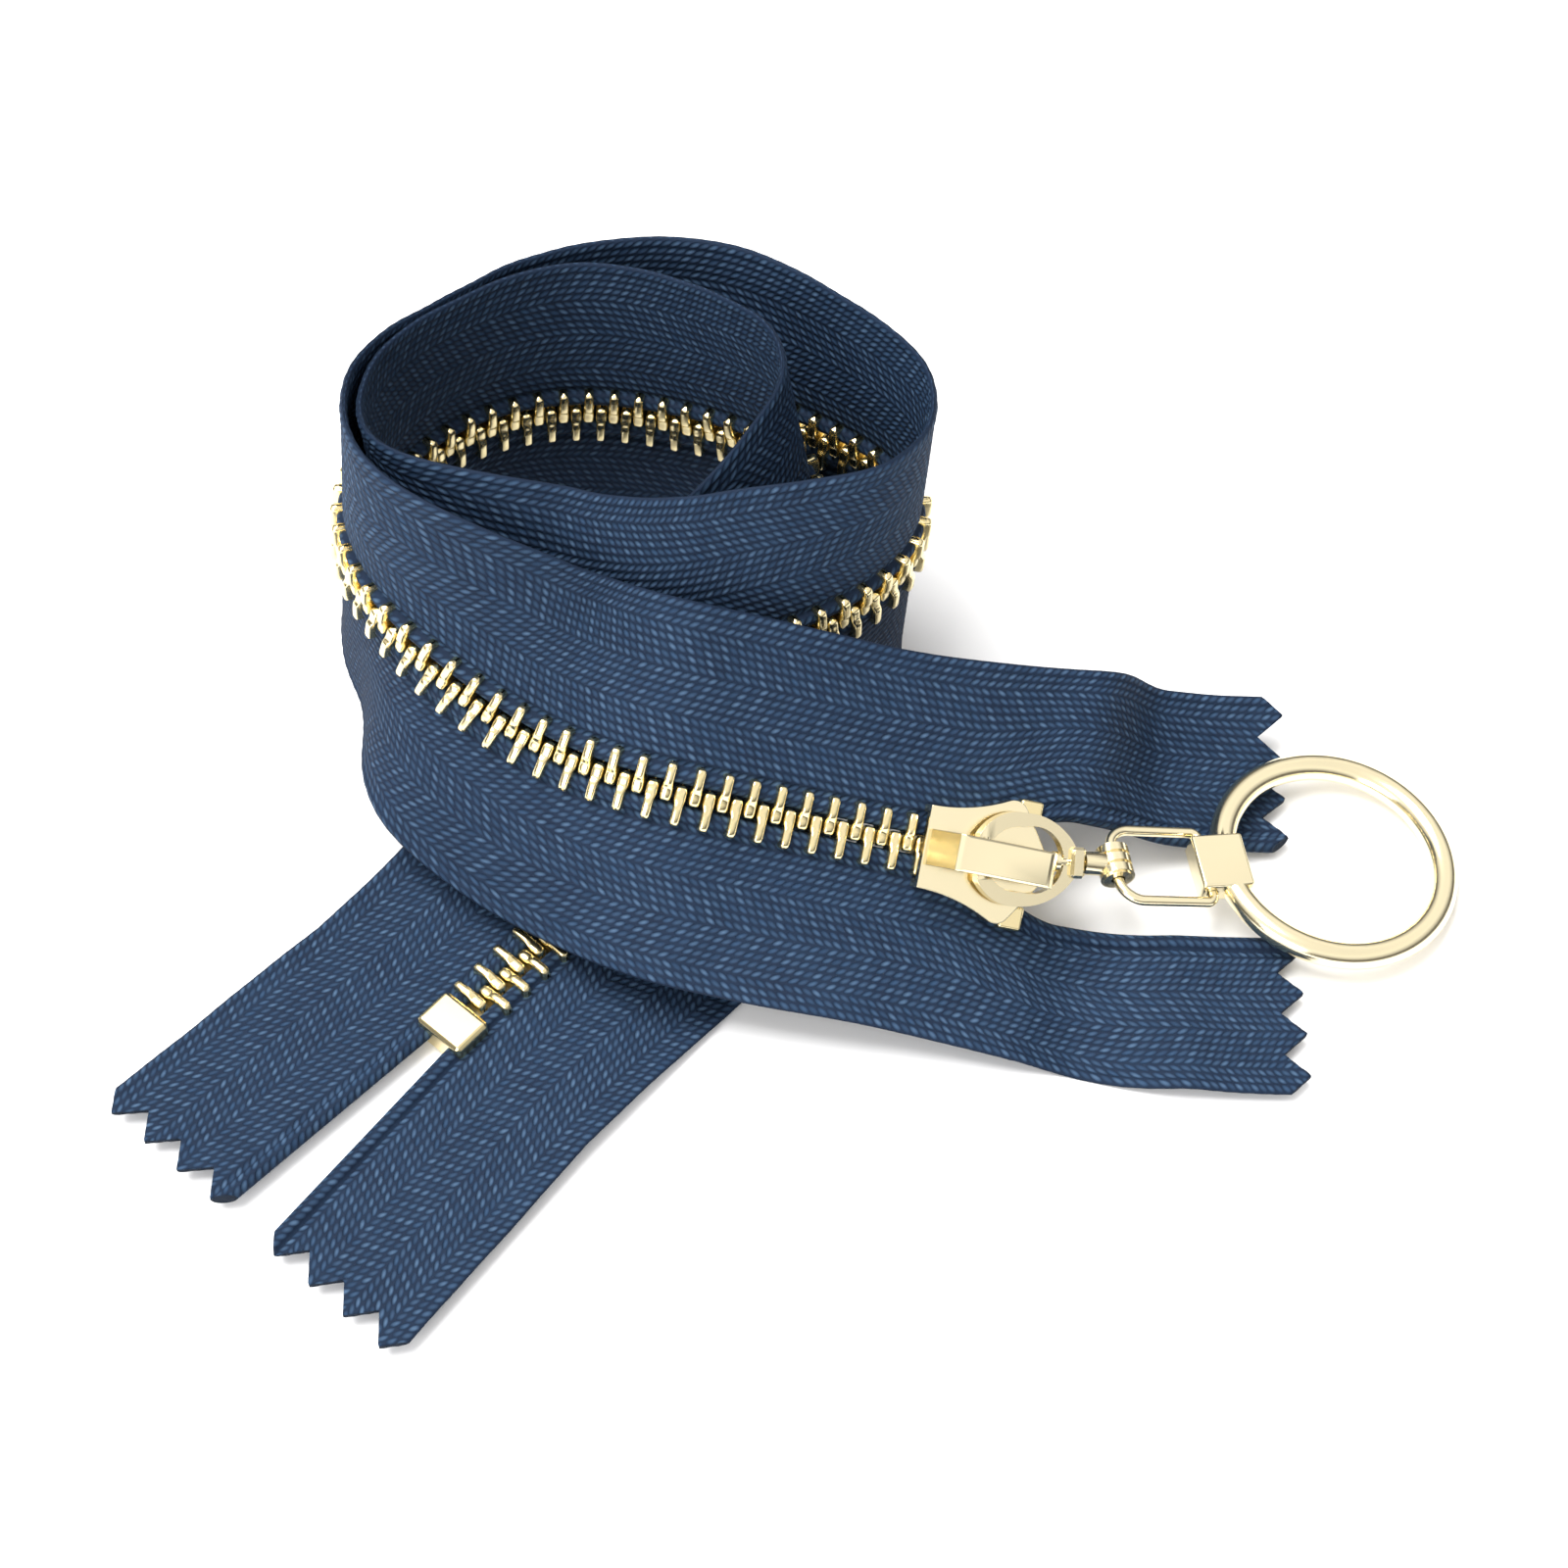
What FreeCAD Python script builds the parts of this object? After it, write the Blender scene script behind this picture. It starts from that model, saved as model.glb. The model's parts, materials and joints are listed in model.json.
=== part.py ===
"""Metal-toothed zipper, coiled on a table, with a lock slider and a ring puller.

Millimetres.  The route of the chain's centreline is laid out on the table plane z = 0 and the
whole model is then moved so that the origin is the middle of the underside of its box.
Local frames have x along the chain towards the top stops, y to the left tape's selvage and
z out of the zipper's face, the side that the slider's puller is on.
"""
import FreeCAD, Part
import math
import os

os.makedirs("parts", exist_ok=True)

V = FreeCAD.Vector

# ---------------------------------------------------------------- driving dimensions
# The route: distance along the tape, heading, lean and slope in degrees.  A lean of 0 is flat
# on the table, 90 stands on the right-hand edge.  Headings count on through both turns.
ROUTE_START = (-42.66, -43.25, 1.55)
ROUTE = (
    (0, 49, 0, 0),        # cut tail, flat and straight
    (27, 49, 0, 0),
    (41, 46, 8, 11),      # passes under the front walls and rises
    (52, 73, 25, 32),
    (63, 36, 71, 42),
    (75, 65, 73, 7),      # upright, inner turn
    (89, 139, 92, -11),
    (105, 179, 102, 4),
    (121, 228, 92, 7),
    (137, 296, 90, 10),
    (153, 345, 62, -9),   # second turn's front wall
    (169, 380, 67, -3),
    (185, 411, 90, -4),
    (201, 497, 98, -5),   # outer back
    (217, 522, 109, 0),
    (233, 556, 95, 4),
    (249, 598.5, 83, 12),
    (265, 655, 83, 2),
    (280, 687, 59, -19),  # front strip comes down
    (293, 698, 47, -1),
    (303, 718, 40, -19),
    (319, 719, 34, -19),  # straight stretch that the slider sits on
    (333, 720, 34, -19),
    (343, 722, 4, -12),   # tape ends, flat
    (353, 719, 0, 0),
)
# Each tape half folds off the chain's plane at two lines, these far from the centreline.
# Distance along the tape, then the left half's two folds and the right half's first, upwards
# positive.
FOLD_LINES = (5.6, 12.4)
FOLDS = (
    (0, 0, 0, 0),
    (291, 0, 0, 0),
    (303, 0, 0, 4),
    (319, -4, 0, 19),
    (333, -10, 4, 28),
    (343, 2, 24, 3),
    (353, 2, 27, 0),
)
ROUTE_STEP = 0.5

# Tape
TAPE_REACH = 15.5         # chain centreline to selvage
TAPE_INNER = 0.85         # chain centreline to the bead
TAPE_HALF_THICK = 0.25
FOLD_HALF_THICK = 0.21    # the weave is thinner where the half folds
BEAD_WIDTH = 1.4
BEAD_HALF_THICK = 0.7
SECTION_STEP = 4.0
TAIL_GAP = 1.4            # extra half gap between the beads at the cut tail
TAIL_GAP_LENGTH = 23.0
TOP_GAP = 3.5             # extra half gap between the beads past the slider
PINK_DEPTH = 2.2          # zigzag cut at the ends
PINK_POINTS = 4

# Teeth
TOOTH_PITCH = 2.28
FIRST_TOOTH = 26.6
LAST_TOOTH = 323.5
TOOTH_OUTER = 2.55        # centreline to the end of the legs
TOOTH_OVERLAP = 0.75      # head's reach past the centreline
HEAD_REACH = 0.55
LEG_WIDTH = 0.85
HEAD_WIDTH = 0.98
LEG_HALF_THICK = 1.3
HEAD_HALF_THICK = 1.0
STRETCHES = (("tail", 0.0, 58.0), ("inner_turn", 58.0, 140.0), ("outer_turn", 140.0, 262.0),
             ("front", 262.0, 302.0), ("slider", 302.0, 340.0))

# Stops
BOTTOM_STOP_AT = 23.7
BOTTOM_STOP_SIZE = (3.7, 5.0, 3.1)
TOP_STOP_AT = 328.3
TOP_STOP_SIZE = (2.1, 2.1, 2.7)
TOP_STOP_Y = 4.4

# Slider
SLIDER_AT = 324.7
SLIDER_HALF_LENGTH = 5.35
WING_IN = 1.45            # centre plane to the wing's inner face
WING_OUT = 2.35
NARROW_HALF = 3.45
SHOULDER_HALF = 5.1
FLANGE_THICK = 0.7
FLANGE_SLOT_HALF = 0.45
FLANGE_END = 1.6
BRIDGE_HALF_WIDTH = 1.5
BRIDGE_IN = 5.45
BRIDGE_OUT = 6.25
HINGE_X = -0.6            # puller loop's bar
HINGE_Z = 3.45
PAWL_UNDER = 4.25
PAWL_OVER = 4.6
PAWL_HINGE_X = 3.2

# Puller
LOOP_HALF_THICK = 0.5
LOOP_BAND = 1.2
LOOP_HALF_WIDTH = 3.85
LOOP_YAW = 7.5
LOOP_LIFT = -5.0
BOSS_END = 8.9
STEM_RADIUS = 0.5
RUNNING_CLEARANCE = 0.06
COLLAR_RADIUS = 1.0
EYE_X = 12.0              # hinge bar to the link's bar in the knuckle
KNUCKLE_RADIUS = 1.45
KNUCKLE_HALF_WIDTH = 1.5
LINK_WIRE = 0.45
LINK_LENGTH = 8.4
LINK_HALF_WIDTH = 3.5
LINK_CORNER = 2.0
LUG_HEIGHT = 4.2          # lug's bore above the table
LUG_BACK = 1.0
LUG_FRONT = 3.5
LUG_HALF_WIDTH = 2.6
LUG_HALF_THICK = 1.2
RING_RADIUS = 9.6         # to the middle of the wire
RING_WIRE = 1.15
RING_CENTRE = 11.4        # bore to ring centre
RING_LIFT = 0.4           # under the ring's far side

TAPE_LENGTH = ROUTE[-1][0]


# ---------------------------------------------------------------- the route
def monotone_curve(xs, ys):
    """Cubic through the points that never overshoots them, level at both ends."""
    gaps = [b - a for a, b in zip(xs, xs[1:])]
    rises = [(b - a) / g for a, b, g in zip(ys, ys[1:], gaps)]
    slopes = [0.0] * len(xs)
    for i in range(1, len(xs) - 1):
        before, after = rises[i - 1], rises[i]
        if before * after > 0:
            w1 = 2 * gaps[i] + gaps[i - 1]
            w2 = gaps[i] + 2 * gaps[i - 1]
            slopes[i] = (w1 + w2) / (w1 / before + w2 / after)

    def value(x):
        i = 0
        while i < len(gaps) - 1 and x > xs[i + 1]:
            i += 1
        g = gaps[i]
        t = (x - xs[i]) / g
        return (ys[i] * (1 + 2 * t) * (1 - t) ** 2 + ys[i + 1] * t * t * (3 - 2 * t)
                + g * slopes[i] * t * (1 - t) ** 2 + g * slopes[i + 1] * t * t * (t - 1))
    return value


def angle_curve(stations, column):
    return monotone_curve([station[0] for station in stations],
                          [math.radians(station[column]) for station in stations])


heading_at = angle_curve(ROUTE, 1)
lean_at = angle_curve(ROUTE, 2)
slope_at = angle_curve(ROUTE, 3)
inner_fold_at = {1: angle_curve(FOLDS, 1), -1: angle_curve(FOLDS, 3)}
outer_fold_at = angle_curve(FOLDS, 2)


def axes_at(s):
    """Unit vectors along the chain, to the left selvage and out of the face."""
    a, t, f = heading_at(s), lean_at(s), slope_at(s)
    along = V(math.cos(f) * math.cos(a), math.cos(f) * math.sin(a), math.sin(f))
    level = V(-math.sin(a), math.cos(a), 0)
    up = V(-math.sin(f) * math.cos(a), -math.sin(f) * math.sin(a), math.cos(f))
    left = level * math.cos(t) + up * math.sin(t)
    return along, left, along.cross(left)


def walk_route():
    """Centreline points every ROUTE_STEP, by adding up the direction along the way."""
    points = [V(*ROUTE_START)]
    before = axes_at(0)[0]
    for i in range(int(TAPE_LENGTH / ROUTE_STEP)):
        after = axes_at((i + 1) * ROUTE_STEP)[0]
        points.append(points[-1] + (before + after) * (ROUTE_STEP / 2))
        before = after
    return points


CENTRELINE = walk_route()


def centre_at(s):
    i = min(max(int(s / ROUTE_STEP), 0), len(CENTRELINE) - 2)
    t = s / ROUTE_STEP - i
    return CENTRELINE[i] * (1 - t) + CENTRELINE[i + 1] * t


def frame(origin, x, y, z):
    return FreeCAD.Placement(FreeCAD.Matrix(
        x.x, y.x, z.x, origin.x,
        x.y, y.y, z.y, origin.y,
        x.z, y.z, z.z, origin.z,
        0, 0, 0, 1))


def frame_at(s):
    return frame(centre_at(s), *axes_at(s))


def placed(shape, place):
    moved = shape.copy()
    moved.Placement = place.multiply(moved.Placement)
    return moved


def turn(axis, degrees):
    return FreeCAD.Placement(V(0, 0, 0), FreeCAD.Rotation(axis, degrees))


def shift(x, y, z):
    return FreeCAD.Placement(V(x, y, z), FreeCAD.Rotation())


def ease(t):
    t = min(max(t, 0.0), 1.0)
    return t * t * (3 - 2 * t)


def tail_gap(s):
    return TAIL_GAP * max(0.0, 1 - s / TAIL_GAP_LENGTH)


def bead_gap(s):
    """Extra half gap between the two beads: at the cut tail and past the slider's wedge."""
    return tail_gap(s) + TOP_GAP * ease((s - TAPE_LENGTH + 31) / 11)


def selvage_gap(s):
    """The selvages part later and more gently than the beads."""
    return tail_gap(s) + TOP_GAP * ease((s - TAPE_LENGTH + 41) / 38)


# ---------------------------------------------------------------- small solid helpers
def box(x0, x1, y0, y1, z0, z1):
    return Part.makeBox(x1 - x0, y1 - y0, z1 - z0, V(x0, y0, z0))


def prism(points, z0, z1):
    corners = [V(x, y, z0) for x, y in points]
    return Part.Face(Part.makePolygon(corners + corners[:1])).extrude(V(0, 0, z1 - z0))


def side_prism(points, half_width):
    """Outline in x and z, drawn out across the slider."""
    corners = [V(x, -half_width, z) for x, z in points]
    return Part.Face(Part.makePolygon(corners + corners[:1])).extrude(V(0, 2 * half_width, 0))


def line(a, b):
    return Part.LineSegment(V(*a), V(*b)).toShape()


def arc(a, b, c):
    return Part.Arc(V(*a), V(*b), V(*c)).toShape()


def outline_prism(edges, z0, z1):
    face = Part.Face(Part.Wire(edges))
    return placed(face.extrude(V(0, 0, z1 - z0)).removeSplitter(), shift(0, 0, z0))


def mirrored_outline(half):
    """Closed outline from the pieces of its left half, each a tuple of 2 or 3 (x, y) points."""
    edges = []
    for piece in half:
        points = [(x, y, 0) for x, y in piece]
        edges.append(line(*points) if len(points) == 2 else arc(*points))
    for piece in reversed(half):
        points = [(x, -y, 0) for x, y in reversed(piece)]
        edges.append(line(*points) if len(points) == 2 else arc(*points))
    return edges


# ---------------------------------------------------------------- tape
def tape_section(s, side):
    """Corners of one tape half across the chain: a folded strip with a bead at its inner edge."""
    inner = TAPE_INNER + bead_gap(s)
    neck = inner + BEAD_WIDTH
    outer = TAPE_REACH + selvage_gap(s)
    first = max(FOLD_LINES[0], neck + 0.5)
    second = FOLD_LINES[1]
    bend = inner_fold_at[side](s)
    curl = bend + (outer_fold_at(s) if side > 0 else 0)
    second_y = first + (second - first) * math.cos(bend)
    second_z = (second - first) * math.sin(bend)
    outer_y = second_y + (outer - second) * math.cos(curl)
    outer_z = second_z + (outer - second) * math.sin(curl)
    thin, thick = TAPE_HALF_THICK, BEAD_HALF_THICK
    upper = [(outer_y - thin * math.sin(curl), outer_z + thin * math.cos(curl)),
             (second_y - thin * math.sin(bend), second_z + thin * math.cos(bend)),
             (first, FOLD_HALF_THICK), (neck, thin), (neck - 0.4, thick), (inner + 0.35, thick)]
    lower = [(inner + 0.35, -thick), (neck - 0.4, -thick), (neck, -thin), (first, -FOLD_HALF_THICK),
             (second_y + thin * math.sin(bend), second_z - thin * math.cos(bend)),
             (outer_y + thin * math.sin(curl), outer_z - thin * math.cos(curl))]
    corners = upper + [(inner, 0)] + lower
    along, left, out = axes_at(s)
    centre = centre_at(s)
    return [centre + left * (side * y) + out * z for y, z in corners]


def quad_faces(a, b, c, d):
    """One flat face where the four corners lie in a plane, otherwise two triangles."""
    normal = (b - a).cross(c - a)
    normal.normalize()
    if abs((d - a).dot(normal)) < 1e-7:
        return [Part.Face(Part.makePolygon([a, b, c, d, a]))]
    return [Part.Face(Part.makePolygon([a, b, c, a])), Part.Face(Part.makePolygon([a, c, d, a]))]


def pinked_cutter(side, at_tail):
    """What the pinking shears take off one end, in the end's own frame."""
    s = 0.0 if at_tail else float(TAPE_LENGTH)
    away = -1 if at_tail else 1
    y0 = TAPE_INNER + bead_gap(s) - 0.5
    y1 = TAPE_REACH + selvage_gap(s) + 0.3
    pitch = (y1 - y0) / PINK_POINTS
    points = [(away * 3, side * y0)]
    for i in range(PINK_POINTS):
        points.append((-away * PINK_DEPTH, side * (y0 + i * pitch)))
        points.append((-away * 0.02, side * (y0 + (i + 0.5) * pitch)))
    points.append((-away * PINK_DEPTH, side * y1))
    points.append((away * 3, side * y1))
    return placed(prism(points, -3, 3), frame_at(s))


def tape(side):
    count = int(round(TAPE_LENGTH / SECTION_STEP))
    stations = [TAPE_LENGTH * i / count for i in range(count + 1)]
    rings = [tape_section(s, side) for s in stations]
    faces = []
    for near, far in zip(rings, rings[1:]):
        for i in range(len(near)):
            j = (i + 1) % len(near)
            faces += quad_faces(near[i], near[j], far[j], far[i])
    for ring in (rings[0], rings[-1]):
        faces.append(Part.Face(Part.makePolygon(ring + ring[:1])))
    shell = Part.makeShell(faces)
    shell.sewShape()
    solid = Part.makeSolid(shell)
    if solid.Volume < 0:
        solid.reverse()
    return solid.cut(pinked_cutter(side, True)).cut(pinked_cutter(side, False))


# ---------------------------------------------------------------- teeth
def tooth_template(side):
    """Forked tooth: two legs that straddle the bead, joined by a wider head at the centre."""
    slot = BEAD_HALF_THICK - 0.15
    fork = [(TOOTH_OUTER, LEG_HALF_THICK - 0.3), (TOOTH_OUTER - 0.3, LEG_HALF_THICK),
            (HEAD_REACH + 0.35, LEG_HALF_THICK), (HEAD_REACH, HEAD_HALF_THICK),
            (-TOOTH_OVERLAP + 0.2, HEAD_HALF_THICK), (-TOOTH_OVERLAP, HEAD_HALF_THICK - 0.3)]
    upper = [(y, z) for y, z in fork]
    lower = [(y, -z) for y, z in reversed(fork)]
    notch = [(TOOTH_OUTER, -slot), (TAPE_INNER + 0.25, -slot),
             (TAPE_INNER + 0.25, slot), (TOOTH_OUTER, slot)]
    corners = [V(-LEG_WIDTH / 2, side * y, z) for y, z in upper + lower + notch]
    legs = Part.Face(Part.makePolygon(corners + corners[:1])).extrude(V(LEG_WIDTH, 0, 0))
    y0, y1 = sorted((-side * TOOTH_OVERLAP, side * HEAD_REACH))
    head = box(-HEAD_WIDTH / 2, HEAD_WIDTH / 2, y0 + 0.1, y1 - 0.1,
               -HEAD_HALF_THICK + 0.15, HEAD_HALF_THICK - 0.15)
    return legs.fuse(head)


def teeth(side):
    """All teeth of one side with their places along the chain; the right row is half a pitch on."""
    template = tooth_template(side)
    s = FIRST_TOOTH if side > 0 else FIRST_TOOTH + TOOTH_PITCH / 2
    row = []
    while s < LAST_TOOTH:
        sideways = shift(0, side * bead_gap(s), 0)
        row.append((s, placed(template, frame_at(s).multiply(sideways))))
        s += TOOTH_PITCH
    return row


# ---------------------------------------------------------------- stops
def chamfered_block(length, width, thick, chamfer):
    block = box(-length / 2, length / 2, -width / 2, width / 2, -thick / 2, thick / 2)
    return block.makeChamfer(chamfer, block.Edges)


def bottom_stop():
    return placed(chamfered_block(*BOTTOM_STOP_SIZE, 0.35), frame_at(BOTTOM_STOP_AT))


def top_stop(side):
    block = chamfered_block(*TOP_STOP_SIZE, 0.2)
    place = frame_at(SLIDER_AT).multiply(shift(TOP_STOP_AT - SLIDER_AT, side * TOP_STOP_Y, 0))
    return placed(block, place)


# ---------------------------------------------------------------- slider
SLIDER = frame_at(SLIDER_AT)


def wing_outline(z0, z1):
    rear = -SLIDER_HALF_LENGTH
    nose = SLIDER_HALF_LENGTH
    half = [
        ((rear, 0), (rear, NARROW_HALF)),
        ((rear, NARROW_HALF), (-2.2, 3.8), (1.2, SHOULDER_HALF - 0.1)),
        ((1.2, SHOULDER_HALF - 0.1), (2.2, SHOULDER_HALF), (2.8, 4.7)),
        ((2.8, 4.7), (4.6, 2.1)),
        ((4.6, 2.1), (nose - 0.25, 1.2), (nose, 0)),
    ]
    return outline_prism(mirrored_outline(half), z0, z1)


def slider_body():
    """Two wings joined by the wedge, with side flanges that leave a slot for the tapes."""
    rear = -SLIDER_HALF_LENGTH
    wings = [wing_outline(WING_IN, WING_OUT), wing_outline(-WING_OUT, -WING_IN)]
    channel_half = [
        ((rear - 1, 0), (rear - 1, NARROW_HALF - FLANGE_THICK)),
        ((rear - 1, NARROW_HALF - FLANGE_THICK), (-2.4, 3.8 - FLANGE_THICK),
         (FLANGE_END + 1, SHOULDER_HALF - FLANGE_THICK)),
        ((FLANGE_END + 1, SHOULDER_HALF - FLANGE_THICK), (FLANGE_END + 1, 0)),
    ]
    channel = outline_prism(mirrored_outline(channel_half), -3, 3)
    walls = wing_outline(-WING_IN, WING_IN).cut(channel)
    walls = walls.cut(box(rear - 1, 9, -9, 9, -FLANGE_SLOT_HALF, FLANGE_SLOT_HALF))
    walls = walls.common(box(rear - 1, FLANGE_END, -9, 9, -3, 3))
    wedge = prism([(0.9, 0), (3.6, 1.5), (4.5, 1.0), (4.5, -1.0), (3.6, -1.5)], -WING_IN, WING_IN)
    body = wings[0].multiFuse([wings[1], walls, wedge]).removeSplitter()
    window = box(-3.5, -1.9, -0.55, 0.55, 0, WING_OUT + 1)
    body = body.cut(window)
    return placed(body, SLIDER)


def slider_bridge():
    """Cover bar: a sloped rear foot, a flat top and a front post, hollow underneath."""
    foot, top = WING_OUT, BRIDGE_OUT
    outer = [(-5.1, foot), (-5.1, foot + 0.5), (-3.6, top - 0.35), (-3.1, top), (4.4, top),
             (4.9, top - 0.5), (4.9, foot)]
    inner = [(-4.0, foot - 1), (-3.2, foot + 0.4), (-3.2, BRIDGE_IN), (4.0, BRIDGE_IN), (4.0, foot - 1)]
    bar = side_prism(outer, BRIDGE_HALF_WIDTH).cut(side_prism(inner, 5))
    lips = [e for e in bar.Edges if abs(e.CenterOfMass.z - top) < 0.01]
    return placed(bar.makeChamfer(0.2, lips), SLIDER)


def lock_pawl():
    """Lever over the loop's bar, hinged at the front; its tooth drops through the wing."""
    arm = side_prism([(-3.0, PAWL_OVER), (-3.0, 1.15), (-2.4, 1.15), (-2.2, PAWL_UNDER),
                      (3.0, PAWL_UNDER), (3.0, PAWL_OVER)], 0.45)
    barrel_centre = V(PAWL_HINGE_X, -0.7, PAWL_OVER - 0.2)
    barrel = Part.makeCylinder(0.35, 1.4, barrel_centre, V(0, 1, 0))
    return placed(arm.fuse(barrel), SLIDER)


def lock_spring():
    half, thick = 0.5, 0.12
    high, low = BRIDGE_IN - thick - 0.02, PAWL_OVER + 0.03
    ends = (-2.4, 2.8)
    middle = (ends[0] + ends[1]) / 2
    edges = [
        arc((ends[0], -half, high), (middle, -half, low), (ends[1], -half, high)),
        line((ends[1], -half, high), (ends[1], -half, high + thick)),
        arc((ends[1], -half, high + thick), (middle, -half, low + thick),
            (ends[0], -half, high + thick)),
        line((ends[0], -half, high + thick), (ends[0], -half, high)),
    ]
    leaf = Part.Face(Part.Wire(edges)).extrude(V(0, 2 * half, 0))
    return placed(leaf, SLIDER)


# ---------------------------------------------------------------- puller
LOOP = (SLIDER.multiply(shift(HINGE_X, 0, HINGE_Z))
        .multiply(turn(V(0, 0, 1), LOOP_YAW)).multiply(turn(V(0, 1, 0), -LOOP_LIFT)))


def levelled(place):
    """The same x axis, turned about it until the y axis is level."""
    x = place.Rotation.multVec(V(1, 0, 0))
    y = V(0, 0, 1).cross(x)
    y.normalize()
    return frame(place.Base, x, y, x.cross(y))


SWIVEL = levelled(LOOP)
EYE = SWIVEL.multiply(shift(EYE_X, 0, 0))


def tipped(place, rise):
    """A frame at the same point whose x axis keeps its heading and climbs by the angle rise."""
    x = place.Rotation.multVec(V(1, 0, 0))
    level = V(x.x, x.y, 0)
    level.normalize()
    x = level * math.cos(rise) + V(0, 0, 1) * math.sin(rise)
    y = V(0, 0, 1).cross(level)
    return frame(place.Base, x, y, x.cross(y))


LINK = tipped(EYE, -math.asin((EYE.Base.z - LUG_HEIGHT) / LINK_LENGTH))
BORE = LINK.multiply(shift(LINK_LENGTH, 0, 0))
RING_SLOPE = math.asin((BORE.Base.z - RING_WIRE - RING_LIFT) / (RING_CENTRE + RING_RADIUS))
RING = tipped(BORE, -RING_SLOPE)


def puller_loop():
    """Flat eye round the bridge, drawn in to a boss that holds the swivel's stem."""
    t = LOOP_HALF_THICK
    wide = LOOP_HALF_WIDTH
    outer_half = [
        ((-LOOP_BAND / 2, 0), (-LOOP_BAND / 2, 1.9)),
        ((-LOOP_BAND / 2, 1.9), (0.75, 3.3), (3.4, wide)),
        ((3.4, wide), (6.4, 3.0), (8.2, 1.2)),
        ((8.2, 1.2), (8.2, 0)),
    ]
    inner_half = [
        ((LOOP_BAND / 2, 0), (LOOP_BAND / 2, 1.5)),
        ((LOOP_BAND / 2, 1.5), (1.6, 2.35), (3.4, wide - LOOP_BAND)),
        ((3.4, wide - LOOP_BAND), (6.0, 2.2), (7.1, 0)),
    ]
    eye = outline_prism(mirrored_outline(outer_half), -t, t)
    eye = eye.cut(outline_prism(mirrored_outline(inner_half), -3, 3))
    boss = box(7.6, BOSS_END, -1.3, 1.3, -1.05, 1.05)
    boss = boss.makeChamfer(0.25, boss.Edges)
    hole = Part.makeCylinder(STEM_RADIUS + RUNNING_CLEARANCE, 6, V(5, 0, 0), V(1, 0, 0))
    bar = Part.makeCylinder(LOOP_BAND / 2, 3.4, V(0, -1.7, 0), V(0, 1, 0))
    return placed(eye.multiFuse([boss, bar]).cut(hole), LOOP)


def swivel_knuckle():
    """Headed stem through the boss, a collar, and a three-ribbed eye for the link."""
    x_axis, y_axis = V(1, 0, 0), V(0, 1, 0)
    head = Part.makeCylinder(0.85, 0.4, V(6.35, 0, 0), x_axis)
    stem = Part.makeCylinder(STEM_RADIUS, EYE_X - 7.4, V(6.4, 0, 0), x_axis)
    collar = Part.makeCylinder(COLLAR_RADIUS, 1.9, V(BOSS_END + 0.1, 0, 0), x_axis)
    half = KNUCKLE_HALF_WIDTH
    barrel = Part.makeCylinder(KNUCKLE_RADIUS - 0.25, 2 * half, V(EYE_X, -half, 0), y_axis)
    ribs = []
    for i in (-1, 0, 1):
        start = V(EYE_X, i * 2 * half / 3 - 0.36, 0)
        ribs.append(Part.makeCylinder(KNUCKLE_RADIUS, 0.72, start, y_axis))
    body = head.multiFuse([stem, collar, barrel] + ribs)
    hole = Part.makeCylinder(LINK_WIRE + 0.12, 8, V(EYE_X, -4, 0), y_axis)
    return placed(body.cut(hole), SWIVEL)


def round_bar(a, b):
    reach = V(*b) - V(*a)
    return Part.makeCylinder(LINK_WIRE, reach.Length, V(*a), reach)


def corner(centre, radius, start_degrees):
    """A quarter of a torus in the link's plane."""
    bend = Part.makeTorus(radius, LINK_WIRE, V(0, 0, 0), V(0, 0, 1), -180, 180, 90)
    turned = turn(V(0, 0, 1), start_degrees)
    return placed(bend, shift(centre[0], centre[1], 0).multiply(turned))


def d_link():
    """Bent wire: rounded where it hangs in the knuckle, square where the lug holds it."""
    tight = 0.7
    w, big, end = LINK_HALF_WIDTH, LINK_CORNER, LINK_LENGTH
    pieces = [round_bar((0, big - w, 0), (0, w - big, 0)),
              round_bar((end, tight - w, 0), (end, w - tight, 0))]
    for side in (1, -1):
        pieces.append(round_bar((big, side * w, 0), (end - tight, side * w, 0)))
    pieces.append(corner((big, w - big), big, 90))
    pieces.append(corner((big, big - w), big, 180))
    pieces.append(corner((end - tight, w - tight), tight, 0))
    pieces.append(corner((end - tight, tight - w), tight, 270))
    return placed(pieces[0].multiFuse(pieces[1:]), LINK)


def ring_puller():
    """Finger ring cast in one with the square lug that the link's straight bar turns in."""
    ring = Part.makeTorus(RING_RADIUS, RING_WIRE, V(RING_CENTRE, 0, 0), V(0, 0, 1))
    lug = box(-LUG_BACK, LUG_FRONT, -LUG_HALF_WIDTH, LUG_HALF_WIDTH, -LUG_HALF_THICK, LUG_HALF_THICK)
    lug = lug.makeFillet(0.3, lug.Edges)
    hole = Part.makeCylinder(LINK_WIRE + RUNNING_CLEARANCE, 12, V(0, -6, 0), V(0, 1, 0))
    return placed(ring.fuse(lug).cut(hole), RING)


# ---------------------------------------------------------------- build and export
def build():
    nodes = {"left_tape": tape(1), "right_tape": tape(-1)}
    for name, side in (("left", 1), ("right", -1)):
        row = teeth(side)
        for stretch, start, end in STRETCHES:
            members = [shape for s, shape in row if start <= s < end]
            nodes[name + "_teeth_" + stretch] = Part.makeCompound(members)
        nodes[name + "_top_stop"] = top_stop(side)
    nodes["bottom_stop"] = bottom_stop()
    nodes["slider_body"] = slider_body()
    nodes["slider_bridge"] = slider_bridge()
    nodes["lock_pawl"] = lock_pawl()
    nodes["lock_spring"] = lock_spring()
    nodes["puller_loop"] = puller_loop()
    nodes["swivel_knuckle"] = swivel_knuckle()
    nodes["d_link"] = d_link()
    nodes["ring_puller"] = ring_puller()
    return nodes


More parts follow.
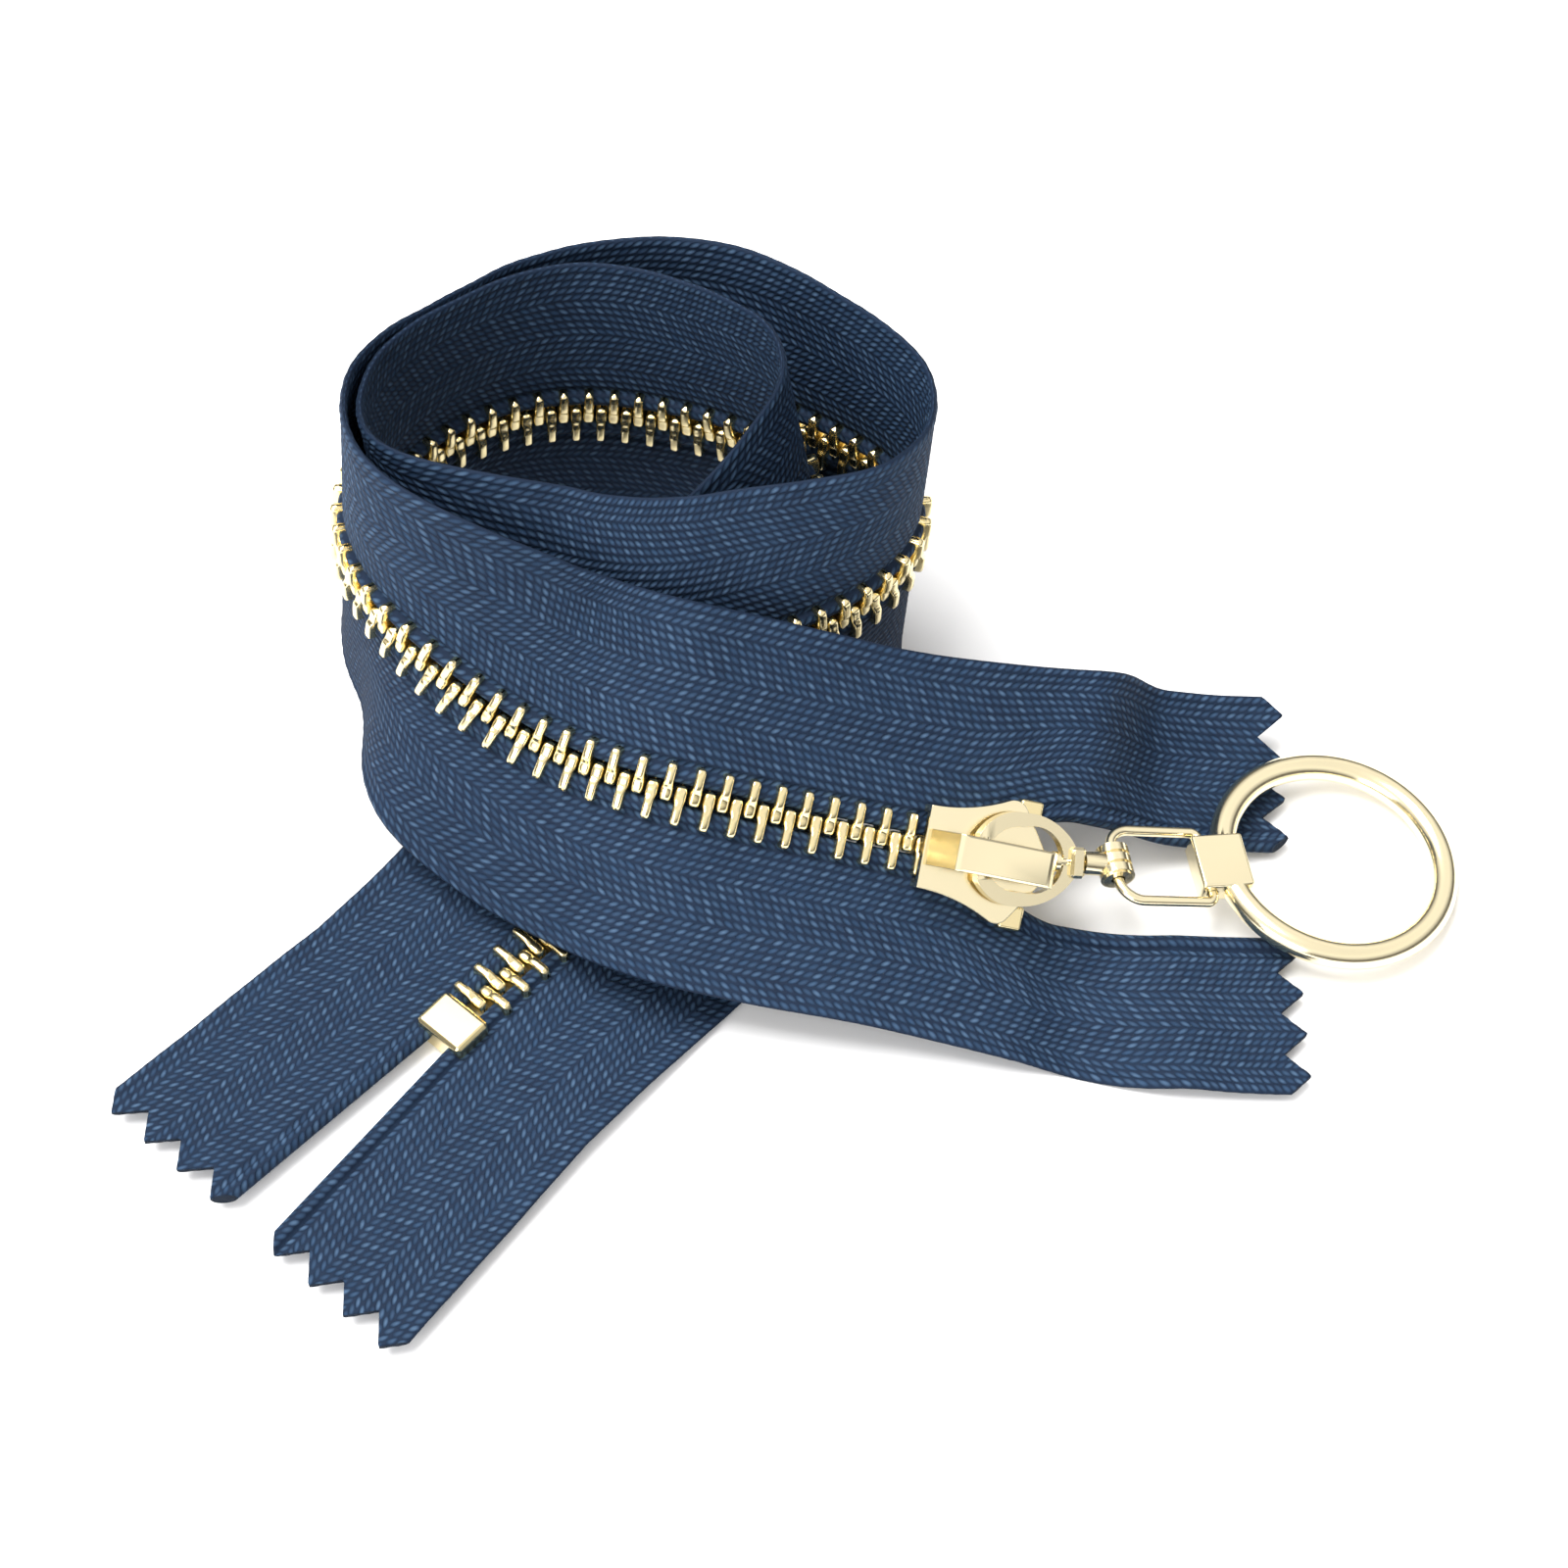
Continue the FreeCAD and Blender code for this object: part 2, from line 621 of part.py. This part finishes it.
def origin_shift(nodes):
    """Moves the middle of the box's underside to the origin."""
    bounds = FreeCAD.BoundBox()
    for shape in nodes.values():
        bounds.add(shape.BoundBox)
    return V(-bounds.Center.x, -bounds.Center.y, -bounds.ZMin)


def report(label, place, direction, moved):
    point = place.Base + moved
    way = place.Rotation.multVec(direction)
    print("%-12s (%.5f, %.5f, %.5f) m, axis (%.5f, %.5f, %.5f)" % (
        label, point.x / 1000, point.y / 1000, point.z / 1000, way.x, way.y, way.z))


def main():
    nodes = build()
    moved = origin_shift(nodes)
    for name, shape in nodes.items():
        shape = placed(shape, FreeCAD.Placement(moved, FreeCAD.Rotation()))
        shape.exportStep("parts/" + name + ".step")
        print("%-24s solids %3d  volume %9.3f  valid %s" % (
            name, len(shape.Solids), shape.Volume, shape.isValid()))
    print("moved by (%.3f, %.3f, %.3f) mm" % (moved.x, moved.y, moved.z))
    report("slider", SLIDER, V(-1, 0, 0), moved)
    pawl = SLIDER.multiply(shift(PAWL_HINGE_X, 0, PAWL_OVER - 0.2))
    report("pawl", pawl, V(0, 1, 0), moved)
    report("loop", LOOP, V(0, -1, 0), moved)
    report("swivel", SWIVEL, V(1, 0, 0), moved)
    report("link", LINK, V(0, -1, 0), moved)
    report("ring", RING, V(0, -1, 0), moved)


main()
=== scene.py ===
"""Looks of the coiled zipper: woven tapes, rounded brass teeth, polished slider and puller."""

import json
import math

import bpy
import bmesh
import numpy as np
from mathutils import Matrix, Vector


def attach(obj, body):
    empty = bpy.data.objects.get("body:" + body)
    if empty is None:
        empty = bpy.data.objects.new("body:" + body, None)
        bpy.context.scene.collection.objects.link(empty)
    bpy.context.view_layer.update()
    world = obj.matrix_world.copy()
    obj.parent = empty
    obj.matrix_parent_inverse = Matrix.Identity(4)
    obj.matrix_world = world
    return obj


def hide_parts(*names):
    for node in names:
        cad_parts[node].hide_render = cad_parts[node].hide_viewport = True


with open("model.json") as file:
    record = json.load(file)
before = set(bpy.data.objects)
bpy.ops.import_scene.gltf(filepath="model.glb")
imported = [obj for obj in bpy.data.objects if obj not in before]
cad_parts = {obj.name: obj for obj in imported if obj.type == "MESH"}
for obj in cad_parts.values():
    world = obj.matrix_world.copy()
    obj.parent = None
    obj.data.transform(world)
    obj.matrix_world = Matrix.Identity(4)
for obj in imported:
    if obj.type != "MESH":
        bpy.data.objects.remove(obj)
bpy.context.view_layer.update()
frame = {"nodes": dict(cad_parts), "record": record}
MM = 0.001

# ---------------------------------------------------------------- dimensions, as in the part
# Millimetres.  ROUTE has distance, heading, lean and slope; FOLDS has distance, the left
# half's two folds and the right half's first; all angles are in degrees.
MOVED = np.array([-1.910, 8.640, 0.000])
ROUTE_START = np.array([-42.66, -43.25, 1.55])
ROUTE = np.array([
    (0, 49, 0, 0), (27, 49, 0, 0), (41, 46, 8, 11), (52, 73, 25, 32), (63, 36, 71, 42),
    (75, 65, 73, 7), (89, 139, 92, -11), (105, 179, 102, 4), (121, 228, 92, 7),
    (137, 296, 90, 10), (153, 345, 62, -9), (169, 380, 67, -3), (185, 411, 90, -4),
    (201, 497, 98, -5), (217, 522, 109, 0), (233, 556, 95, 4), (249, 598.5, 83, 12),
    (265, 655, 83, 2), (280, 687, 59, -19), (293, 698, 47, -1), (303, 718, 40, -19),
    (319, 719, 34, -19), (333, 720, 34, -19), (343, 722, 4, -12), (353, 719, 0, 0)], float)
FOLDS = np.array([
    (0, 0, 0, 0), (291, 0, 0, 0), (303, 0, 0, 4), (319, -4, 0, 19), (333, -10, 4, 28),
    (343, 2, 24, 3), (353, 2, 27, 0)], float)
FOLD_LINES = (5.6, 12.4)
LENGTH = 353.0
TAPE_REACH = 15.5         # centreline to selvage
TAPE_INNER = 0.85         # centreline to the bead
TAPE_WIDTH = 14.65        # one half, from bead to selvage
TAIL_GAP = 1.4
TAIL_GAP_LENGTH = 23.0
TOP_GAP = 3.5
BEAD_WIDTH = 1.4
BEAD_HALF = 0.7
WEB_HALF = 0.25
PINK_DEPTH = 2.2
PINK_POINTS = 4
PINK_FADE = 7             # the cut's effect on the mesh dies out over this length
STITCH_ROW = 0.70         # across the tape
STITCH_LENGTH = 0.74      # along the tape
BAND_ROWS = 5             # the twill turns back after so many rows
TOOTH_PITCH = 2.28
FIRST_TOOTH = 26.6
LAST_TOOTH = 323.5
STRETCHES = (("tail", 0.0, 58.0), ("inner_turn", 58.0, 140.0), ("outer_turn", 140.0, 262.0),
             ("front", 262.0, 302.0), ("slider", 302.0, 340.0))


# ---------------------------------------------------------------- the route
def monotone(xs, ys):
    """Cubic through the points that never overshoots them, level at both ends."""
    gap = np.diff(xs)
    rise = np.diff(ys) / gap
    slope = np.zeros(len(xs))
    for i in range(1, len(xs) - 1):
        if rise[i - 1] * rise[i] > 0:
            w1 = 2 * gap[i] + gap[i - 1]
            w2 = gap[i] + 2 * gap[i - 1]
            slope[i] = (w1 + w2) / (w1 / rise[i - 1] + w2 / rise[i])

    def value(x):
        x = np.asarray(x, float)
        i = np.clip(np.searchsorted(xs, x, side="right") - 1, 0, len(gap) - 1)
        g = gap[i]
        t = (x - xs[i]) / g
        return (ys[i] * (1 + 2 * t) * (1 - t) ** 2 + ys[i + 1] * t * t * (3 - 2 * t)
                + g * slope[i] * t * (1 - t) ** 2 + g * slope[i + 1] * t * t * (t - 1))
    return value


heading_at = monotone(ROUTE[:, 0], np.radians(ROUTE[:, 1]))
lean_at = monotone(ROUTE[:, 0], np.radians(ROUTE[:, 2]))
slope_at = monotone(ROUTE[:, 0], np.radians(ROUTE[:, 3]))
left_fold_at = monotone(FOLDS[:, 0], np.radians(FOLDS[:, 1]))
curl_at = monotone(FOLDS[:, 0], np.radians(FOLDS[:, 2]))
right_fold_at = monotone(FOLDS[:, 0], np.radians(FOLDS[:, 3]))


def axes_at(s):
    """Unit vectors along the chain, to the left selvage and out of the face."""
    a, t, f = heading_at(s), lean_at(s), slope_at(s)
    along = np.stack([np.cos(f) * np.cos(a), np.cos(f) * np.sin(a), np.sin(f)], -1)
    level = np.stack([-np.sin(a), np.cos(a), 0 * a], -1)
    up = np.stack([-np.sin(f) * np.cos(a), -np.sin(f) * np.sin(a), np.cos(f)], -1)
    left = level * np.cos(t)[..., None] + up * np.sin(t)[..., None]
    return along, left, np.cross(along, left)


STEPS = np.linspace(0, LENGTH, int(LENGTH * 2) + 1)
ALONG = axes_at(STEPS)[0]
CENTRES = ROUTE_START + np.concatenate([
    np.zeros((1, 3)), np.cumsum((ALONG[1:] + ALONG[:-1]) / 2 * (STEPS[1] - STEPS[0]), 0)])


def centre_at(s):
    return np.stack([np.interp(s, STEPS, CENTRES[:, k]) for k in range(3)], -1)


def ease(t):
    t = np.clip(t, 0, 1)
    return t * t * (3 - 2 * t)


def tail_gap(s):
    return TAIL_GAP * np.maximum(0, 1 - s / TAIL_GAP_LENGTH)


def bead_gap(s):
    return tail_gap(s) + TOP_GAP * ease((s - LENGTH + 31) / 11)


def selvage_gap(s):
    return tail_gap(s) + TOP_GAP * ease((s - LENGTH + 41) / 38)


# ---------------------------------------------------------------- mesh helpers
def new_object(name, verts, faces, material, uv=None):
    mesh = bpy.data.meshes.new(name)
    mesh.from_pydata([tuple(v) for v in verts], [], faces)
    mesh.shade_smooth()
    if uv is not None:
        layer = mesh.uv_layers.new(name="UVMap")
        index = np.empty(len(mesh.loops), np.int32)
        mesh.loops.foreach_get("vertex_index", index)
        layer.data.foreach_set("uv", uv[index].astype(np.float32).ravel())
    mesh.materials.append(material)
    obj = bpy.data.objects.new(name, mesh)
    bpy.context.collection.objects.link(obj)
    return obj


def to_row(points):
    return (points + MOVED) * MM


# ---------------------------------------------------------------- materials
def material(name):
    m = bpy.data.materials.new(name)
    m.use_nodes = True
    nodes, links = m.node_tree.nodes, m.node_tree.links
    nodes.clear()
    out = nodes.new("ShaderNodeOutputMaterial")
    shader = nodes.new("ShaderNodeBsdfPrincipled")
    links.new(shader.outputs[0], out.inputs[0])
    return m, nodes, links, shader


def metal(name, colour, roughness):
    m, _, _, shader = material(name)
    shader.inputs["Base Color"].default_value = (*colour, 1)
    shader.inputs["Metallic"].default_value = 1.0
    shader.inputs["Roughness"].default_value = roughness
    return m


def math_node(nodes, links, operation, a, b=None, clamp=False):
    n = nodes.new("ShaderNodeMath")
    n.operation = operation
    n.use_clamp = clamp
    for socket, value in zip(n.inputs, (a, b)):
        if value is None:
            continue
        if isinstance(value, (int, float)):
            socket.default_value = value
        else:
            links.new(value, socket)
    return n.outputs[0]


def woven(name, dark, mid, light):
    """Rows of short slanting stitches, with painted shade in the gaps between them and a painted
    highlight on their tops.  u runs along the tape and v across it, in millimetres.
    """
    m, nodes, links, shader = material(name)

    def calc(operation, a, b=None, clamp=False):
        return math_node(nodes, links, operation, a, b, clamp)

    uv = nodes.new("ShaderNodeUVMap")
    split = nodes.new("ShaderNodeSeparateXYZ")
    links.new(uv.outputs[0], split.inputs[0])
    u, v = split.outputs[0], split.outputs[1]
    wale = calc("DIVIDE", v, STITCH_ROW)
    row = calc("FLOOR", wale)
    across = calc("SUBTRACT", calc("FRACT", wale), 0.5)
    band = calc("FRACT", calc("MULTIPLY", calc("FLOOR", calc("DIVIDE", row, BAND_ROWS)), 0.5))
    flip = calc("SUBTRACT", 1.0, calc("MULTIPLY", band, 4.0))
    lean = calc("MULTIPLY", calc("MULTIPLY", across, flip), 0.80)
    stagger = calc("MULTIPLY", calc("MULTIPLY", row, flip), 0.42)
    along = calc("ADD", calc("ADD", calc("DIVIDE", u, STITCH_LENGTH), lean), stagger)
    cell = calc("FLOOR", along)
    within = calc("SUBTRACT", calc("FRACT", along), 0.5)
    round_part = calc("ADD", calc("POWER", calc("ABSOLUTE", calc("MULTIPLY", across, 2.2)), 2.0),
                      calc("POWER", calc("ABSOLUTE", calc("MULTIPLY", within, 2.0)), 2.0))
    rib = calc("ADD", calc("MULTIPLY", calc("FRACT", calc("MULTIPLY", cell, 0.5)), 0.7), 0.65)
    height = calc("MULTIPLY", calc("SUBTRACT", 1.0, round_part, clamp=True), rib)
    wobble = nodes.new("ShaderNodeTexWhiteNoise")
    wobble.noise_dimensions = "2D"
    joined = nodes.new("ShaderNodeCombineXYZ")
    links.new(row, joined.inputs[0])
    links.new(cell, joined.inputs[1])
    links.new(joined.outputs[0], wobble.inputs["Vector"])
    cloud = nodes.new("ShaderNodeTexNoise")
    cloud.inputs["Scale"].default_value = 0.35
    cloud.inputs["Detail"].default_value = 2.0
    links.new(uv.outputs[0], cloud.inputs["Vector"])
    # painted highlight: the tops of the stitches are mixed towards the light colour, more strongly
    # on some stitches at random
    painted_highlight = calc("MULTIPLY", calc("POWER", height, 2.0),
                 calc("ADD", calc("MULTIPLY", wobble.outputs[0], 0.75), 0.05), clamp=True)
    # painted shade: the gaps between the stitches, where the height is low, are mixed towards the
    # dark colour; the cloud noise adds random tone
    base = nodes.new("ShaderNodeMix")
    base.data_type = "RGBA"
    base.inputs["A"].default_value = (*dark, 1)
    base.inputs["B"].default_value = (*mid, 1)
    links.new(calc("ADD", calc("MULTIPLY", height, 0.8), calc("MULTIPLY", cloud.outputs[0], 0.3)),
              base.inputs["Factor"])
    top = nodes.new("ShaderNodeMix")
    top.data_type = "RGBA"
    top.inputs["B"].default_value = (*light, 1)
    links.new(base.outputs["Result"], top.inputs["A"])
    links.new(painted_highlight, top.inputs["Factor"])
    links.new(top.outputs["Result"], shader.inputs["Base Color"])
    shader.inputs["Roughness"].default_value = 0.75
    shader.inputs["Specular IOR Level"].default_value = 0.18
    bump = nodes.new("ShaderNodeBump")
    bump.inputs["Strength"].default_value = 0.9
    bump.inputs["Distance"].default_value = 0.00012
    links.new(height, bump.inputs["Height"])
    links.new(bump.outputs[0], shader.inputs["Normal"])
    return m


# twill colours: the first is painted shade for the stitch gaps, the second the yarn's own blue, the
# third a painted highlight for the stitch tops
TWILL = woven("twill", (0.004, 0.010, 0.026), (0.020, 0.049, 0.103), (0.070, 0.122, 0.200))
BRASS = metal("brass", (0.93, 0.79, 0.45), 0.20)
GILT = metal("gilt", (0.97, 0.86, 0.58), 0.18)
STEEL = metal("steel", (0.6, 0.6, 0.6), 0.25)


# ---------------------------------------------------------------- woven tapes
def across_profile():
    """Distances from the bead's inner edge and half thickness: round bead, groove, web, selvage."""
    y = np.concatenate([np.linspace(0, BEAD_WIDTH, 10),
                        np.linspace(BEAD_WIDTH, TAPE_WIDTH, 68)[1:]])
    bead = np.sqrt(np.clip(1 - ((y - BEAD_WIDTH / 2) / (BEAD_WIDTH / 2)) ** 2, 0, 1)) * BEAD_HALF
    groove = 0.10 * np.exp(-((y - BEAD_WIDTH - 0.3) / 0.25) ** 2)
    rib = 0.035 * np.cos(2 * np.pi * (y - BEAD_WIDTH) / STITCH_ROW)
    selvage = 0.10 * np.exp(-((y - 14.2) / 0.28) ** 2)
    web = WEB_HALF - 0.04 - groove + rib + selvage
    rounding = np.sqrt(np.clip((TAPE_WIDTH + 0.01 - y) / 0.25, 0, 1))
    return y, np.where(y <= BEAD_WIDTH, np.maximum(bead, 0.02), web * rounding)


def pinked(y):
    """Depth of the zigzag cut at distance y from the bead's inner edge."""
    pitch = (TAPE_WIDTH + 0.8) / PINK_POINTS
    t = ((y + 0.5) / pitch) % 1.0
    return PINK_DEPTH * (1 - 2 * np.minimum(t, 1 - t))


def tape_quads(rows, cols):
    """Faces of two grids laid face to face, the second one's points after the first's."""
    a = (np.arange(rows - 1)[:, None] * cols + np.arange(cols - 1)[None]).ravel()
    upper = np.stack([a, a + cols, a + cols + 1, a + 1], 1)
    n = rows * cols
    i = np.arange(rows - 1) * cols
    j = i + cols - 1
    inner_edge = np.stack([i, i + n, i + n + cols, i + cols], 1)
    outer_edge = np.stack([j, j + cols, j + n + cols, j + n], 1)
    k = np.arange(cols - 1)
    m = k + (rows - 1) * cols
    tail_edge = np.stack([k, k + 1, k + 1 + n, k + n], 1)
    head_edge = np.stack([m, m + n, m + 1 + n, m + 1], 1)
    return np.concatenate([upper, upper[:, ::-1] + n, inner_edge, outer_edge, tail_edge,
                           head_edge])


def tape(name, side):
    """One woven half: a dense grid on each face, folded, slightly wavy and cut in a zigzag."""
    dist, half = across_profile()
    stations = np.linspace(0, LENGTH, 1060)
    s, y0 = np.meshgrid(stations, dist, indexing="ij")
    cut = np.broadcast_to(pinked(dist), s.shape)
    s = s + cut * (np.clip(1 - s / PINK_FADE, 0, 1)
                   - np.clip(1 - (LENGTH - s) / PINK_FADE, 0, 1))
    inner = TAPE_INNER + bead_gap(s)
    spare = (TAPE_REACH + selvage_gap(s) - inner) / TAPE_WIDTH
    y = inner + y0 * spare
    first = np.maximum(FOLD_LINES[0], inner + BEAD_WIDTH + 0.5)
    bend = left_fold_at(s) if side > 0 else right_fold_at(s)
    curl = curl_at(s) if side > 0 else 0 * s
    angle = bend * ease((y - first + 1.3) / 2.6) + curl * ease((y - FOLD_LINES[1] + 1.5) / 3.4)
    step = np.diff(y, axis=1)
    middle = (angle[:, 1:] + angle[:, :-1]) / 2
    yy = y[:, :1] + np.concatenate([0 * y[:, :1], np.cumsum(step * np.cos(middle), 1)], 1)
    zz = np.concatenate([0 * y[:, :1], np.cumsum(step * np.sin(middle), 1)], 1)
    edge = np.clip((y0 - 4) / 10.6, 0, 1) ** 2
    zz = zz + edge * (0.07 * np.sin(s * 0.41 + side) + 0.03 * np.sin(s * 0.93 + 2 * side))
    stitch = 0.02 * np.sin(2 * np.pi * s / STITCH_LENGTH * 0.5) * (y0 > BEAD_WIDTH)
    along, left, out = axes_at(s)
    centre = centre_at(s)
    sheets = []
    for face in (1, -1):
        h = face * (half + stitch)
        py = yy - h * np.sin(angle)
        pz = zz + h * np.cos(angle)
        sheets.append(centre + left * (side * py)[..., None] + out * pz[..., None])
    verts = np.concatenate([sheet.reshape(-1, 3) for sheet in sheets])
    uv = np.stack([s, y0 + 40], -1).reshape(-1, 2)
    uv = np.concatenate([uv, uv + np.array([0.33, 40])])
    faces = tape_quads(*s.shape)
    if side > 0:
        faces = faces[:, ::-1]
    obj = new_object(name + "_woven", to_row(verts), faces.tolist(), TWILL, uv)
    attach(obj, "chain")
    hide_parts(name)


# ---------------------------------------------------------------- teeth
def tooth_mesh():
    """One tooth with its legs towards +y: rounded sections strung along y."""
    ys = np.array([-0.75, -0.70, -0.55, -0.30, 0.0, 0.30, 0.50, 0.62, 0.80, 1.2, 1.7, 2.1, 2.35,
                   2.49, 2.55])
    wide = np.array([0.10, 0.34, 0.46, 0.49, 0.50, 0.50, 0.48, 0.44, 0.425, 0.425, 0.425, 0.425,
                     0.40, 0.30, 0.10])
    thick = np.array([0.30, 0.75, 0.92, 0.97, 1.0, 1.0, 1.06, 1.18, 1.28, 1.30, 1.30, 1.29, 1.22,
                      1.05, 0.80])
    around = 20               # points round a section
    squareness = 0.42         # power that turns a circle into a rounded square
    angles = (np.arange(around) + 0.5) * 2 * math.pi / around
    cx = np.sign(np.cos(angles)) * np.abs(np.cos(angles)) ** squareness
    cz = np.sign(np.sin(angles)) * np.abs(np.sin(angles)) ** squareness
    rings = [np.stack([w * cx, np.full(around, y), t * cz], 1) for y, w, t in zip(ys, wide, thick)]
    verts = np.concatenate(rings)
    faces = []
    for r in range(len(ys) - 1):
        for i in range(around):
            j = (i + 1) % around
            faces.append([r * around + i, r * around + j, (r + 1) * around + j,
                          (r + 1) * around + i])
    faces.append(list(range(around)))
    faces.append([(len(ys) - 1) * around + i for i in reversed(range(around))])
    return verts, faces


def teeth(name, side, start, end):
    """The rounded teeth of one side between two distances along the chain."""
    base, base_faces = tooth_mesh()
    verts, faces = [], []
    s = FIRST_TOOTH if side > 0 else FIRST_TOOTH + TOOTH_PITCH / 2
    while s < LAST_TOOTH:
        if start <= s < end:
            along, left, out = axes_at(np.array(s))
            y = side * (base[:, 1] + bead_gap(s))
            points = centre_at(s) + np.outer(base[:, 0], along) + np.outer(y, left)
            points = points + np.outer(base[:, 2], out)
            shift = len(verts) * len(base)
            verts.append(points)
            faces += [[i + shift for i in face[::side]] for face in base_faces]
        s += TOOTH_PITCH
    obj = new_object(name + "_rounded", to_row(np.concatenate(verts)), faces, BRASS)
    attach(obj, "chain")
    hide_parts(name)


# ---------------------------------------------------------------- castings
def softened(node, width, segments, mat, angle=35.0):
    """A copy of a casting with its flat faces joined up and its edges rounded over."""
    source = frame["nodes"][node]
    mesh = source.data.copy()
    bm = bmesh.new()
    bm.from_mesh(mesh)
    bmesh.ops.remove_doubles(bm, verts=bm.verts, dist=2e-6)
    bmesh.ops.dissolve_limit(bm, angle_limit=math.radians(1.0), verts=bm.verts, edges=bm.edges)
    bm.to_mesh(mesh)
    bm.free()
    mesh.materials.clear()
    mesh.materials.append(mat)
    mesh.shade_smooth()
    mesh.set_sharp_from_angle(angle=math.radians(angle))
    obj = bpy.data.objects.new(node + "_softened", mesh)
    bpy.context.collection.objects.link(obj)
    bevel = obj.modifiers.new("edges", "BEVEL")
    bevel.width = width * MM
    bevel.segments = segments
    bevel.limit_method = "ANGLE"
    bevel.angle_limit = math.radians(angle)
    bevel.harden_normals = True
    bevel.use_clamp_overlap = True
    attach(obj, body_of(node))
    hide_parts(node)


def body_of(node):
    bodies = frame["record"]["behaviour"]["bodies"]
    return next(body for body, nodes in bodies.items() if node in nodes)


# ---------------------------------------------------------------- set, in metres
LAMP_SIZE = 0.5
FLOOR_HALF = 3.0
CAMERA_RISE = 55.89       # degrees above the table
CAMERA_DISTANCE = 252.97  # mm
SENSOR = 36
LENS = 66.3975


def light(name, place, energy):
    """Soft square lamp that points at the origin."""
    data = bpy.data.lights.new(name, "AREA")
    data.energy = energy
    data.shape = "RECTANGLE"
    data.size = data.size_y = LAMP_SIZE
    obj = bpy.data.objects.new(name, data)
    obj.location = place
    obj.rotation_mode = "QUATERNION"
    obj.rotation_quaternion = (-Vector(place)).to_track_quat("-Z", "Y")
    bpy.context.collection.objects.link(obj)


def paper_floor():
    floor_mesh = bpy.data.meshes.new("floor")
    r = FLOOR_HALF
    floor_mesh.from_pydata([(-r, -r, 0), (r, -r, 0), (r, r, 0), (-r, r, 0)], [], [(0, 1, 2, 3)])
    m, _, _, shader = material("paper")
    shader.inputs["Base Color"].default_value = (0.93, 0.93, 0.935, 1)
    shader.inputs["Roughness"].default_value = 0.9
    floor_mesh.materials.append(m)
    floor = bpy.data.objects.new("floor", floor_mesh)
    floor.location.z = -0.0001
    bpy.context.collection.objects.link(floor)


def studio():
    """Grey world that is dark just above the horizon, which draws lines on the metal."""
    world = bpy.data.worlds.new("studio")
    world.use_nodes = True
    bpy.context.scene.world = world
    nodes, links = world.node_tree.nodes, world.node_tree.links
    nodes.clear()
    out = nodes.new("ShaderNodeOutputWorld")
    back = nodes.new("ShaderNodeBackground")
    ramp = nodes.new("ShaderNodeValToRGB")
    where = nodes.new("ShaderNodeTexCoord")
    split = nodes.new("ShaderNodeSeparateXYZ")
    links.new(where.outputs["Generated"], split.inputs[0])
    links.new(split.outputs[2], ramp.inputs[0])
    links.new(ramp.outputs[0], back.inputs[0])
    links.new(back.outputs[0], out.inputs[0])
    stops = ((0.0, 0.60), (0.06, 0.14), (0.28, 0.12), (0.42, 0.62), (0.66, 1.10), (0.9, 0.96))
    while len(ramp.color_ramp.elements) < len(stops):
        ramp.color_ramp.elements.new(0.5)
    for element, (height, grey) in zip(ramp.color_ramp.elements, stops):
        element.position = height
        element.color = (grey, grey * 0.985, grey * 0.965, 1)
    back.inputs[1].default_value = 1.0
    light("key", (-0.25, 0.10, 0.75), 9.0)
    light("fill", (-0.40, -0.70, 0.35), 4.5)


def camera():
    e, distance = math.radians(CAMERA_RISE), CAMERA_DISTANCE * MM
    moved = Vector(MOVED * MM)
    data = bpy.data.cameras.new("camera")
    data.lens = LENS
    data.sensor_width = SENSOR
    data.clip_start = 0.01
    obj = bpy.data.objects.new("camera", data)
    obj.location = moved + Vector((0, -math.cos(e), math.sin(e))) * distance
    obj.rotation_mode = "QUATERNION"
    obj.rotation_quaternion = (moved - obj.location).to_track_quat("-Z", "Y")
    bpy.context.collection.objects.link(obj)
    bpy.context.scene.camera = obj
    bpy.context.scene.view_settings.view_transform = "Standard"


paper_floor()
studio()
for side, name in ((1, "left"), (-1, "right")):
    tape(name + "_tape", side)
    for stretch, start, end in STRETCHES:
        teeth(name + "_teeth_" + stretch, side, start, end)
    softened(name + "_top_stop", 0.2, 3, BRASS)
softened("bottom_stop", 0.3, 3, BRASS)
softened("slider_body", 0.20, 3, GILT)
softened("slider_bridge", 0.08, 2, GILT, 18.0)
softened("lock_pawl", 0.05, 2, GILT)
softened("lock_spring", 0.02, 1, STEEL)
softened("puller_loop", 0.30, 4, GILT)
softened("swivel_knuckle", 0.12, 3, GILT)
softened("d_link", 0.05, 2, GILT, 60.0)
softened("ring_puller", 0.15, 3, GILT, 50.0)
camera()
